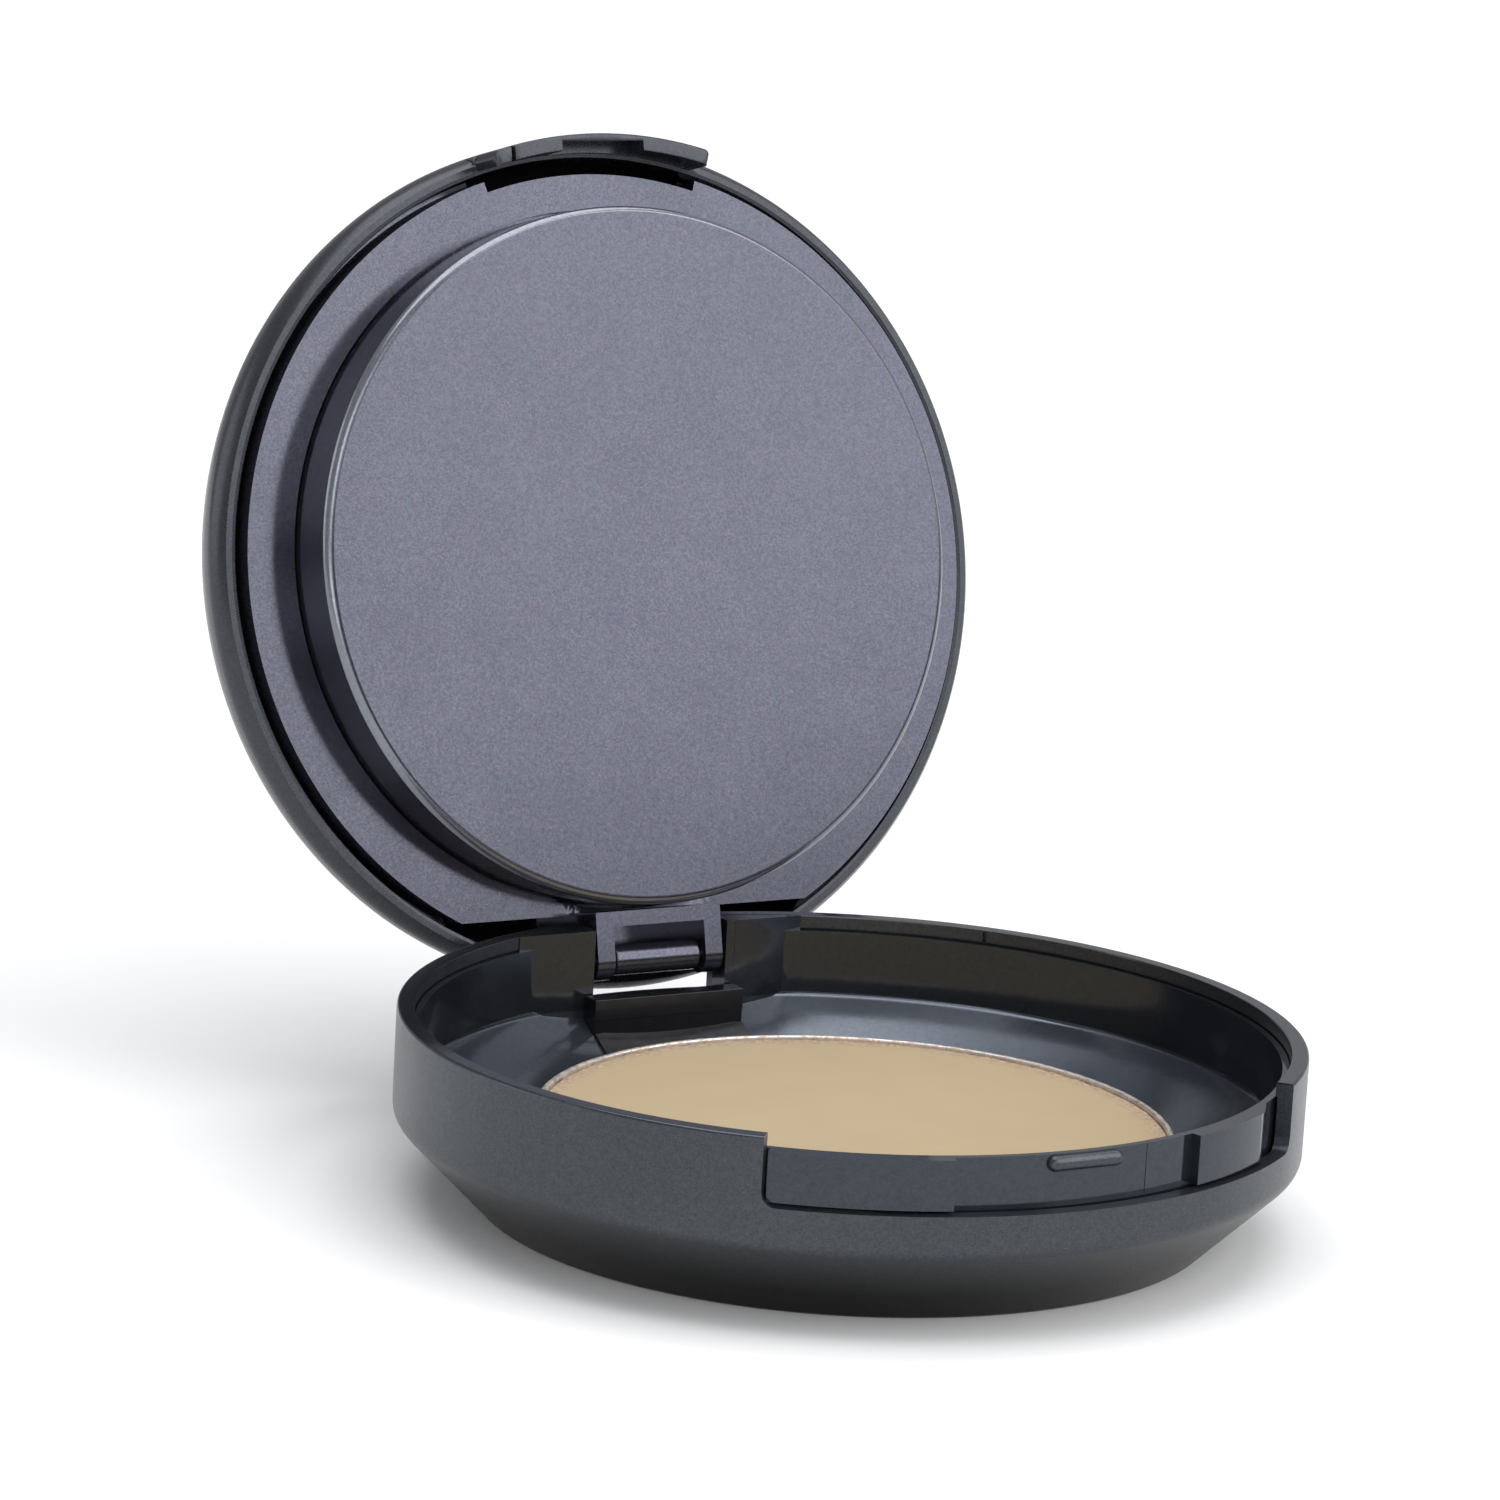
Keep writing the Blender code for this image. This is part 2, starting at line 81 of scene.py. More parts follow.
# Inner frame, with its latch wall between two blocks
FRAME_OUT_R = 39.8
FRAME_IN_R = 39.15       # finer: the ring wall is thinner
FRAME_TOP_Z = 16.2
DECK_OUT_Z = 9.8
DECK_IN_R = 28.6
DECK_IN_Z = 4.4
DECK_T = 1.2
DECK_SLOPE = (DECK_OUT_Z - DECK_IN_Z) / (FRAME_IN_R - DECK_IN_R)
WELL_R = 29.6
WELL_FLOOR_Z = 3.4
CUP_TOP_Z = 6.5
CHORD_Y = 36.7           # flat back wall of the inside
NOTCH_HALF = 7.2
NOTCH_Z = 9.0
BLOCK_IN_R = 39.3
BLOCK_R = 40.8
BLOCK_LOW_Z = RECESS_Z + 0.3
BLOCK_TOP_Z = BASE_H - 0.5
BLOCK_IN_HALF = 17.57    # finer: the blocks' ends lie just off the corners of the turned pieces
BLOCK_OUT_LEFT = -40.07
BLOCK_OUT_RIGHT = 36.57
BLOCK_CHAMFER = 32.8     # finer: where the right block's end starts to slope
PAD = (9.5, 18.0)        # finer: shallow pad beside the right block
NUB_R = 0.72             # finer: the nub's ends are rounded
NUB_HALF = 3.75

# Hinge bracket
BRACKET_HALF = 8.1       # finer: fills its seat
BRACKET_Y = 34.4
BRACKET_LOW_Z = 6.4
BRACKET_CREASE_Z = 9.3
BRACKET_Z = 11.35
SHADE_STRIP = (29.2, 35.2)     # finer: inner and outer radius of the black strip on the deck, a painted shade in front of the bracket

# Pan
PAN_R = (PAN_HIGH.x - PAN_LOW.x) / 2 / MM
PAN_Y = ((PAN_LOW.y + PAN_HIGH.y) / 2 - MID_Y) / MM
PAN_TOP = PAN_HIGH.z / MM
PAN_FLOOR_Z = 4.4
CRUMBLE_R = 26.6         # finer: the cake is worn outside this radius

# Hinge
PIN_Y = (HINGE["pos_m"][1] - MID_Y) / MM
PIN_Z = HINGE["pos_m"][2] / MM
PIN_BORE_R = 1.05
PIN_BORE_HALF = 9.6
BARREL_R = 1.5
BARREL_HALF = 4.6

# Lid
LID_Z = BASE_H + 0.3
LID_H = 9.6
LID_RIM_R = 40.6
LID_BELLY = 2.2          # height above the rim plane where the lid is widest
LID_DROP = 0.9           # how far the top falls off towards the shoulder
SHOULDER_R = 6.0
LID_BORE_R = 39.6
SHELF_R = 38.9
SHELF_Z = LID_Z - 1.15
FLANGE_R = 39.3
HOLLOW_R = 36.0
WEB = 1.2                # thickness of the shelf and of the wall along its cut-off back
GROOVE_Z = LID_Z + 2.6
LID_CHORD_Y = 34.0
ROOT_HALF = 9.0
PANEL_R = 33.75
PANEL_Y = -0.35
PANEL_Z = LID_Z - 7.6
PANEL_T = 1.2
PANEL_EDGE_R = 0.85
TAB_HALF = 16.8
TAB_IN_R = 40.0
TAB_Z = LID_Z - 4.3
TAB_CORNER_R = 1.0       # finer: rounding of the tab's upright corners
TAB_SHELF_R = 37.85      # finer: edge of the slot behind the tab
POCKET_HALF = 4.45
TONGUE_HALF = 6.8
TONGUE_Z = LID_Z - 5.7
WINDOW_HALF = 4.95

# Camera: where it stands from the middle of the case in metres, where it looks, and its turn
CAMERA_AT = (-0.2582, -0.4297, 0.1474)
CAMERA_TOWARDS = (0.48591, 0.84939, -0.20555)
CAMERA_ROLL = math.radians(3.229)
CAMERA_ANGLE = math.radians(15.041)

# Lights: azimuth and elevation in degrees, width and height in metres, watts
LIGHT_DISTANCE = 4.0
LIGHT_AIM_Z = 0.03
LIGHTS = {
    "key": (45, 34, 3.4, 3.4, 105),
    "front": (-12, 31, 3.2, 1.3, 34),
    "top": (150, 83, 4.0, 4.0, 135),
    "left": (-120, 15, 2.4, 2.4, 24),
    "low": (-38, 9, 2.0, 0.8, 15),
}


# ---------------------------------------------------------------- shapes

def rounded(points, count):
    """A profile of (r, z, radius) corners, each replaced by an arc of `count` steps of that radius."""
    out = []
    for i, corner in enumerate(points):
        here = Vector(corner[:2])
        radius = corner[2] if len(corner) > 2 else 0.0
        if radius <= 0 or i in (0, len(points) - 1):
            out.append(tuple(here))
            continue
        before = Vector(points[i - 1][:2]) - here
        after = Vector(points[i + 1][:2]) - here
        half = before.angle(after) / 2
        if half > math.radians(89):
            out.append(tuple(here))
            continue
        reach = min(radius / math.tan(half), 0.49 * before.length, 0.49 * after.length)
        radius = reach * math.tan(half)
        bisector = (before.normalized() + after.normalized()).normalized()
        centre = here + bisector * (radius / math.sin(half))
        first = here + before.normalized() * reach - centre
        last = here + after.normalized() * reach - centre
        sweep = first.angle(last)
        for k in range(count + 1):
            t = k / count
            point = (first * math.sin((1 - t) * sweep) + last * math.sin(t * sweep)) / math.sin(sweep)
            out.append(tuple(centre + point))
    return out


def new_object(name, bm):
    """Turn a finished bmesh into an object in the scene."""
    mesh = bpy.data.meshes.new(name)
    bmesh.ops.recalc_face_normals(bm, faces=bm.faces)
    bm.to_mesh(mesh)
    bm.free()
    obj = bpy.data.objects.new(name, mesh)
    bpy.context.scene.collection.objects.link(obj)
    return obj


def lathe(name, profile, closed=False, segments=SEG, centre_y=0.0):
    """Turn (r, z) points about the vertical through x = 0, y = centre_y.

    Pieces off the middle start half a step round, so that their corners miss the others'.
    """
    bm = bmesh.new()
    phase = 0.5 if centre_y else 0.0
    rings = []
    for radius, z in profile:
        if radius < 1e-6:
            rings.append([bm.verts.new((0, centre_y, z))])
            continue
        ring = []
        for i in range(segments):
            a = math.tau * (i + phase) / segments
            ring.append(bm.verts.new((radius * math.cos(a), centre_y + radius * math.sin(a), z)))
        rings.append(ring)
    pairs = list(zip(rings, rings[1:]))
    if closed:
        pairs.append((rings[-1], rings[0]))
    for low, high in pairs:
        for i in range(segments):
            j = (i + 1) % segments
            if len(low) == 1:
                bm.faces.new((low[0], high[i], high[j]))
            elif len(high) == 1:
                bm.faces.new((low[i], low[j], high[0]))
            else:
                bm.faces.new((low[i], low[j], high[j], high[i]))
    return new_object(name, bm)


def at_front(radius, angle, z):
    """A point at an angle in degrees from the front (-Y) towards +X."""
    a = math.radians(angle)
    return (radius * math.sin(a), -radius * math.cos(a), z)


def arc_block(name, r_in, r_out, columns):
    """A block bent round the Z axis; columns are (angle, z low, z high, optional r_out)."""
    bm = bmesh.new()
    rings = []
    for column in columns:
        angle, low, high = column[:3]
        outer = column[3] if len(column) > 3 else r_out
        rings.append([bm.verts.new(at_front(*point)) for point in (
            (outer, angle, low), (outer, angle, high), (r_in, angle, high), (r_in, angle, low))])
    for first, second in zip(rings, rings[1:]):
        for i in range(4):
            j = (i + 1) % 4
            bm.faces.new((first[i], first[j], second[j], second[i]))
    bm.faces.new(rings[0])
    bm.faces.new(list(reversed(rings[-1])))
    return new_object(name, bm)


def even(start, end, step=1.0):
    """Values from start to end about a step apart."""
    count = max(1, round(abs(end - start) / step))
    return [start + (end - start) * i / count for i in range(count + 1)]


def slot_columns(half, low, high, corner, radius):
    """Columns of a slot of half angle `half` whose lower corners are rounded by `corner` mm."""
    columns = []
    span = math.degrees(corner / radius)
    inner = half - span
    corner_angles = even(inner, half, span / 8)
    mirrored = [-angle for angle in reversed(corner_angles)]
    for angle in mirrored + even(-inner, inner)[1:-1] + corner_angles:
        d = max(0.0, span - (half - abs(angle))) / span
        rise = corner * (1 - math.sqrt(max(0.0, 1 - min(1.0, d) ** 2)))
        columns.append((angle, low + rise, high))
    return columns


def box(name, low, high):
    """A box between two corners."""
    bm = bmesh.new()
    bmesh.ops.create_cube(bm, size=1.0)
    low, high = Vector(low), Vector(high)
    bmesh.ops.scale(bm, vec=high - low, verts=bm.verts)
    bmesh.ops.translate(bm, vec=(high + low) / 2, verts=bm.verts)
    return new_object(name, bm)


def rod(name, radius, centre, half, sides=96):
    """A round rod along X."""
    bm = bmesh.new()
    bmesh.ops.create_cone(bm, cap_ends=True, segments=sides, radius1=radius, radius2=radius,
                          depth=2 * half)
    bmesh.ops.rotate(bm, matrix=Matrix.Rotation(math.pi / 2, 3, 'Y'), verts=bm.verts)
    bmesh.ops.translate(bm, vec=centre, verts=bm.verts)
    return new_object(name, bm)


def prism_x(name, outline, half):
    """An outline of (y, z) points pushed along X from -half to half."""
    bm = bmesh.new()
    left = [bm.verts.new((-half, y, z)) for y, z in outline]
    right = [bm.verts.new((half, y, z)) for y, z in outline]
    count = len(outline)
    for i in range(count):
        j = (i + 1) % count
        bm.faces.new((left[i], left[j], right[j], right[i]))
    bm.faces.new(list(reversed(left)))
    bm.faces.new(right)
    return new_object(name, bm)


def bake(obj):
    """Apply the object's modifiers."""
    graph = bpy.context.evaluated_depsgraph_get()
    mesh = bpy.data.meshes.new_from_object(obj.evaluated_get(graph))
    obj.modifiers.clear()
    old = obj.data
    obj.data = mesh
    bpy.data.meshes.remove(old)
    return obj


def boolean(obj, operation, *tools):
    """Combine the tools with the object one after another, then delete them."""
    for tool in tools:
        mod = obj.modifiers.new(operation, 'BOOLEAN')
        mod.operation = operation
        mod.solver = 'EXACT'
        mod.object = tool
    bake(obj)
    for tool in tools:
        bpy.data.objects.remove(tool, do_unlink=True)
    return obj


def cut(obj, *tools):
    return boolean(obj, 'DIFFERENCE', *tools)


def join(obj, *tools):
    return boolean(obj, 'UNION', *tools)


def weld(obj, distance):
    """Merge points that lie almost on top of each other."""
    merge = obj.modifiers.new("Weld", 'WELD')
    merge.merge_threshold = distance
    return bake(obj)


def two_slots(obj):
    """Room for a paint and a lighter paint that carries a painted highlight on edges."""
    while len(obj.data.materials) < 2:
        obj.data.materials.append(None)


def soften(obj, width, segments=2, angle=32):
    """Round the sharp edges left by the cuts; the new faces are marked for a lighter paint, a painted
    highlight.
    """
    weld(obj, 0.01)
    two_slots(obj)
    bevel = obj.modifiers.new("Edges", 'BEVEL')
    bevel.width = width
    bevel.segments = segments
    bevel.limit_method = 'ANGLE'
    bevel.angle_limit = math.radians(angle)
    bevel.miter_outer = 'MITER_ARC'
    bevel.use_clamp_overlap = True
    # Bevel faces go to slot 1, for a painted edge highlight where the piece has one.
    bevel.material = 1
    bake(obj)
    return obj


def place(obj, body, node, material, lid=False, angle=35, replace=True, highlight_material=None):
    """Finish a piece: turn, move and scale it, shade it, give it its paint and its body."""
    matrix = Matrix.Identity(4)
    if lid:
        axis = Matrix.Translation((0, PIN_Y, PIN_Z))
        matrix = axis @ Matrix.Rotation(-OPEN, 4, 'X') @ axis.inverted()
    matrix = Matrix.Translation((0, MID_Y, 0)) @ Matrix.Scale(MM, 4) @ matrix
    obj.data.transform(matrix)
    obj.data.shade_smooth()
    obj.data.set_sharp_from_angle(angle=math.radians(angle))
    weighted = obj.modifiers.new("Normals", 'WEIGHTED_NORMAL')
    weighted.keep_sharp = True
    weighted.weight = 60
    # Faces marked 1 take the highlight material, a painted highlight on edges; without one they keep the
    # paint.
    marked = [face.index for face in obj.data.polygons if face.material_index == 1]
    obj.data.materials.clear()
    obj.data.materials.append(material)
    if highlight_material:
        obj.data.materials.append(highlight_material)
    for index in marked:
        obj.data.polygons[index].material_index = 1 if highlight_material else 0
    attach(obj, body)
    if replace:
        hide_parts(node)
    return obj


# ---------------------------------------------------------------- materials

class Nodes:
    """Short hand for building a node tree."""

    def __init__(self, name):
        self.mat = bpy.data.materials.new(name)
        self.mat.use_nodes = True
        self.tree = self.mat.node_tree
        self.bsdf = self.tree.nodes["Principled BSDF"]
        self.coords = self.tree.nodes.new("ShaderNodeTexCoord").outputs["Object"]

    def link(self, a, b):
        self.tree.links.new(a, b)

    def add(self, kind, **values):
        node = self.tree.nodes.new(kind)
        for key, value in values.items():
            if hasattr(node, key):
                setattr(node, key, value)
            else:
                node.inputs[key.replace("_", " ")].default_value = value
        return node

    def noise(self, size, detail=2.0, rough=0.5, stretch=None):
        """Noise with features about `size` mm across."""
        node = self.add("ShaderNodeTexNoise", Scale=1.0 / (size * MM), Detail=detail, Roughness=rough)
        source = self.coords
        if stretch:
            mapping = self.add("ShaderNodeMapping")
            mapping.inputs["Scale"].default_value = stretch
            self.link(source, mapping.inputs["Vector"])
            source = mapping.outputs["Vector"]
        self.link(source, node.inputs["Vector"])
        return node.outputs["Fac"]

    def cells(self, size):
        """A random colour for each cell about `size` mm across."""
        node = self.add("ShaderNodeTexVoronoi", Scale=1.0 / (size * MM))
        self.link(self.coords, node.inputs["Vector"])
        return node.outputs["Color"]

    def span(self, source, low, high, to_low, to_high):
        """Map low..high to to_low..to_high and stop at the ends."""
        node = self.add("ShaderNodeMapRange")
        node.inputs["From Min"].default_value = low
        node.inputs["From Max"].default_value = high
        node.inputs["To Min"].default_value = to_low
        node.inputs["To Max"].default_value = to_high
        self.link(source, node.inputs["Value"])
        return node.outputs["Result"]

    def math(self, operation, a, b=0.0):
        node = self.add("ShaderNodeMath")
        node.operation = operation
        for index, value in enumerate((a, b)):
            if isinstance(value, (int, float)):
                node.inputs[index].default_value = value
            else:
                self.link(value, node.inputs[index])
        return node.outputs[0]

    def mix(self, fac, a, b, blend='MIX'):
        node = self.add("ShaderNodeMix")
        node.data_type = 'RGBA'
        node.blend_type = blend
        for socket, value in ((node.inputs[0], fac), (node.inputs[6], a), (node.inputs[7], b)):
            if isinstance(value, (int, float)):
                socket.default_value = value
            elif isinstance(value, tuple):
                socket.default_value = (*value, 1.0)
            else:
                self.link(value, socket)
        return node.outputs[2]

    def bump(self, height, strength, distance, chain=None):
        """Relief of `distance` mm, on top of the normal `chain` if there is one."""
        node = self.add("ShaderNodeBump")
        node.inputs["Strength"].default_value = strength
        node.inputs["Distance"].default_value = distance * MM
        self.link(height, node.inputs["Height"])
        if chain is not None:
            self.link(chain, node.inputs["Normal"])
        return node.outputs["Normal"]

    def set(self, **values):
        """Set or link the Principled BSDF's sockets and return the material."""
        for key, value in values.items():
            socket = self.bsdf.inputs[key.replace("_", " ")]
            if isinstance(value, (int, float)):
                socket.default_value = value
            elif isinstance(value, tuple):
                socket.default_value = (*value, 1.0)
            else:
                self.link(value, socket)
        return self.mat


def paint(name, base, flake, roughness, grain=0.10, low=0.0, deck=0.0, rim=0.0, coat=0.0):
    """Dark blue-grey lacquer with fine metal flake.

    It is darker below the height `low`, a painted shade, brighter below `deck`, a painted reflection of
    light, and glossy above `rim` (metres).
    """
    step = 0.1 * MM
    peel = 0.06
    n = Nodes(name)
    cells = n.add("ShaderNodeSeparateColor")
    n.link(n.cells(0.13), cells.inputs[0])
    sparkle = n.span(cells.outputs[0], 0.0, 1.0, 1.0 - grain, 1.0 + grain)
    blotch = n.span(n.noise(0.45, 3.0, 0.6), 0.3, 0.7, 0.94, 1.06)
    cloud = n.span(n.noise(14.0, 2.0), 0.3, 0.7, 0.97, 1.03)
    level = n.math('MULTIPLY', n.math('MULTIPLY', sparkle, blotch), cloud)
    parts = n.add("ShaderNodeSeparateXYZ")
    n.link(n.coords, parts.inputs[0])
    height = parts.outputs[2]
    # Painted shade: the colour darkens towards the bottom, down to 0.05 of itself.
    if low:
        level = n.math('MULTIPLY', level, n.span(height, 0.35 * low, 1.05 * low, 0.05, 1.0))
    # Painted reflection of light: the colour is 2.1 times brighter below `deck`.
    if deck:
        level = n.math('MULTIPLY', level, n.span(height, deck, deck + step, 2.1, 1.0))
    tint = n.mix(n.span(n.noise(0.6, 2.0), 0.3, 0.7, 0, 1), base, flake)
    colour = n.mix(1.0, tint, level, 'MULTIPLY')
    rough = n.math('ADD', n.span(n.noise(6.0, 3.0, 0.6), 0.3, 0.7, roughness - 0.02, roughness + 0.02),
                   n.span(cells.outputs[2], 0, 1, -0.03, 0.03))
    if deck:
        rough = n.math('ADD', rough, n.span(height, deck, deck + step, 0.04, 0.0))
    if rim:
        rough = n.math('MULTIPLY', rough, n.span(height, rim, rim + step, 1.0, 0.35))
    skin = n.bump(n.noise(0.7, 2.0), peel, 0.02)
    normal = n.bump(cells.outputs[0], peel, 0.006, skin)
    return n.set(Base_Color=colour, Metallic=0.8, Roughness=rough, Normal=normal,
                 Coat_Weight=coat, Coat_Roughness=0.12)


def gloss_plastic(name, base, roughness=0.2):
    """Polished moulded plastic with faint handling marks."""
    n = Nodes(name)
    colour = n.mix(n.noise(6.0), base, tuple(1.5 * c for c in base))
    rough = n.span(n.noise(1.5, 4.0, 0.65), 0.3, 0.75, roughness - 0.04, roughness + 0.1)
    return n.set(Base_Color=colour, Roughness=rough, Normal=n.bump(n.noise(0.6, 2.0), 0.1, 0.02))


def steel(name):
    """Drawn steel wire, its grain along X."""
    n = Nodes(name)
    grain = n.noise(0.25, 3.0, 0.6, (0.05, 1.0, 1.0))
    colour = n.mix(grain, (0.42, 0.42, 0.43), (0.66, 0.66, 0.67))
    return n.set(Base_Color=colour, Metallic=1.0, Roughness=n.span(grain, 0.3, 0.7, 0.2, 0.38),
                 Normal=n.bump(grain, 0.15, 0.01))


def pan_metal(name):
    """Aluminium with a scuffed rim and grains of powder on it."""
    n = Nodes(name)
    scuff = n.noise(0.5, 4.0, 0.7)
    metal = n.mix(scuff, (0.50, 0.48, 0.46), (0.82, 0.80, 0.77))
    dust = n.span(n.noise(0.8, 4.0, 0.7), 0.48, 0.57, 0.0, 0.85)
    colour = n.mix(dust, metal, (0.50, 0.38, 0.27))
    return n.set(Base_Color=colour, Metallic=n.span(dust, 0, 1, 0.9, 0.0),
                 Roughness=n.span(scuff, 0.3, 0.7, 0.25, 0.5), Normal=n.bump(scuff, 0.5, 0.12))


def powder(name):
    """Pressed powder: flat beige, finely grained, browner and crumbled next to the rim."""
    n = Nodes(name)
    centred = n.add("ShaderNodeMapping")
    centred.inputs["Location"].default_value = (0, -(PAN_Y * MM + MID_Y), 0)
    n.link(n.coords, centred.inputs["Vector"])
    parts = n.add("ShaderNodeSeparateXYZ")
    n.link(centred.outputs["Vector"], parts.inputs[0])
    x, y = parts.outputs[0], parts.outputs[1]
    radius = n.math('SQRT', n.math('ADD', n.math('MULTIPLY', x, x), n.math('MULTIPLY', y, y)))
    ragged = n.math('ADD', radius, n.span(n.noise(1.6, 4.0, 0.7), 0.2, 0.8, -1.0 * MM, 1.0 * MM))
    edge = n.span(ragged, CRUMBLE_R * MM, (CRUMBLE_R + 1.7) * MM, 0.0, 1.0)
    grain = n.noise(0.14, 3.0, 0.7)
    cloud = n.noise(7.0, 3.0)
    body = n.mix(n.span(cloud, 0.3, 0.7, 0, 1), (0.385, 0.297, 0.172), (0.404, 0.311, 0.182))
    body = n.mix(n.span(grain, 0.35, 0.65, 0.0, 0.25), body, (0.361, 0.275, 0.170))
    lumps = n.span(n.noise(0.5, 3.0, 0.7), 0.35, 0.65, 0, 1)
    crumbs = n.mix(lumps, (0.25, 0.15, 0.09), (0.47, 0.35, 0.25))
    colour = n.mix(edge, body, crumbs)
    fine = n.bump(grain, 0.25, 0.04)
    return n.set(Base_Color=colour, Roughness=0.92, Specular_IOR_Level=0.2,
                 Sheen_Weight=0.15, Sheen_Roughness=0.5,
                 Normal=n.bump(n.math('MULTIPLY', edge, n.noise(0.6, 4.0, 0.7)), 0.6, 0.25, fine))


def film(name, base):
    """Thin smooth sheet, for the tape and the label."""
    n = Nodes(name)
    colour = n.mix(n.noise(3.0, 3.0), base, tuple(1.3 * c for c in base))
    return n.set(Base_Color=colour, Roughness=n.span(n.noise(0.7, 3.0), 0.3, 0.7, 0.4, 0.55),
                 Normal=n.bump(n.noise(0.4), 0.1, 0.02))


# ---------------------------------------------------------------- base

def base_shell(material):
    """Cup with a ledge under its rim, a sloping underside, a finger recess and a hinge notch."""
    ledge = FRAME_TOP_Z + 0.06
    points = [(0, SHELL_FLOOR_Z), (FOOT_R - 1.6, SHELL_FLOOR_Z, 0.5), (BORE_R, SHELL_FLOOR_Z + 7.1, 0.8),
              (BORE_R, ledge), (LIP_R, ledge, 0.1), (LIP_R, BASE_H, 0.15), (CASE_R, BASE_H, 0.28),
              (CASE_R, CREASE_Z, 1.7), (FOOT_R, 0.0, 0.9), (LABEL_R + LABEL_DEPTH, 0.0, 0.15),
              (LABEL_R, LABEL_DEPTH, 0.15), (0, LABEL_DEPTH)]
    shell = lathe("base_shell_body", rounded(points, 6))
    opening = slot_columns(RECESS_HALF, RECESS_Z, 25, RECESS_CORNER_R, CASE_R)
    recess = arc_block("recess", 38.0, 44.0, opening)
    notch = box("notch", (-NOTCH_HALF - 0.3, 34, NOTCH_Z + 1.0), (NOTCH_HALF + 0.3, 50, 25))
    slit = arc_block("slit", 39.6, 40.4, [(a, FRAME_TOP_Z + 0.2, BASE_H - 0.2) for a in SLIT])
    cut(shell, recess, notch, rod("groove", PIN_BORE_R, (0, PIN_Y, PIN_Z), PIN_BORE_HALF))
    soften(shell, 0.18)
    weld(shell, 0.004)
    cut(shell, slit)
    return place(shell, "base", "base_shell", material)


def latch_block(name, angles, end=()):
    """Raised block on the latch wall, with columns to end it."""
    columns = [(a, BLOCK_LOW_Z, BLOCK_TOP_Z) for a in angles]
    return arc_block(name, BLOCK_IN_R, BLOCK_R, columns + list(end))


def inner_frame(material, highlight_material):
    """Ring, sloping deck and the cup that holds the pan, cut from one stepped block."""
    under = DECK_IN_Z - DECK_T
    points = [(0, under), (DECK_IN_R, under), (FRAME_OUT_R - 1.25, 8.0), (FRAME_OUT_R, 9.25),
              (FRAME_OUT_R, BASE_H), (0, BASE_H)]
    body = lathe("inner_frame_body", points)
    cup_r, cup_low = WELL_R + 1.0, SHELL_FLOOR_Z + 0.3
    join(body, lathe("cup", [(0, cup_low), (cup_r, cup_low), (cup_r, CUP_TOP_Z), (0, CUP_TOP_Z)],
                     centre_y=PAN_Y))
    join(body, arc_block("pad", BLOCK_IN_R, FRAME_OUT_R + 0.05,
                         [(a, BLOCK_LOW_Z, BLOCK_TOP_Z) for a in even(*PAD)]))
    join(body, latch_block("left_block", even(BLOCK_OUT_LEFT, -BLOCK_IN_HALF)))
    slope_end = (BLOCK_OUT_RIGHT, BLOCK_LOW_Z, BLOCK_TOP_Z, FRAME_OUT_R + 0.1)
    join(body, latch_block("right_block", even(BLOCK_IN_HALF, BLOCK_CHAMFER), [slope_end]))
    fillet = 0.35
    cavity = lathe("cavity", [(0, DECK_IN_Z), (DECK_IN_R, DECK_IN_Z),
                              (FRAME_IN_R - fillet, DECK_OUT_Z - fillet * DECK_SLOPE),
                              (FRAME_IN_R, DECK_OUT_Z + 0.3), (FRAME_IN_R, 20), (0, 20)])
    cut(cavity, box("back", (-50, CHORD_Y, 0), (50, 50, 30)))
    cut(body, cavity)
    cut(body, box("rabbet", (-50, -50, FRAME_TOP_Z), (50, CHORD_Y, 30)))
    cut(body, lathe("well", [(0, WELL_FLOOR_Z), (WELL_R, WELL_FLOOR_Z), (WELL_R, 12), (0, 12)],
                    centre_y=PAN_Y))
    cut(body, box("hinge_notch", (-NOTCH_HALF, 35.0, NOTCH_Z), (NOTCH_HALF, 46, 22)))
    seat = BRACKET_HALF + 0.05
    cut(body, box("seat", (-seat, BRACKET_Y - 0.3, 3), (seat, CHORD_Y + 0.03, 22)))
    cut(body, rod("pin_holes", PIN_BORE_R, (0, PIN_Y, PIN_Z), PIN_BORE_HALF))
    soften(body, 0.14)
    return place(body, "base", "inner_frame", material, highlight_material=highlight_material)


def latch_nub(material):
    """Rounded bar on the latch wall that the lid's tab snaps over."""
    points = [(0, NUB_HALF)]
    count = 8
    for i in range(1, count + 1):
        a = math.radians(90 - 90 * i / count)
        points.append((NUB_R * math.cos(a), NUB_HALF - NUB_R + NUB_R * math.sin(a)))
    points += [(r, -z) for r, z in reversed(points)]
    nub = lathe("latch_nub", points, segments=32)
    along_x = Matrix.Rotation(math.pi / 2, 4, 'Y')
    nub.data.transform(Matrix.Translation((0, 0.08 - FRAME_OUT_R, 15.35)) @ along_x)
    return place(nub, "base", "inner_frame", material, replace=False)


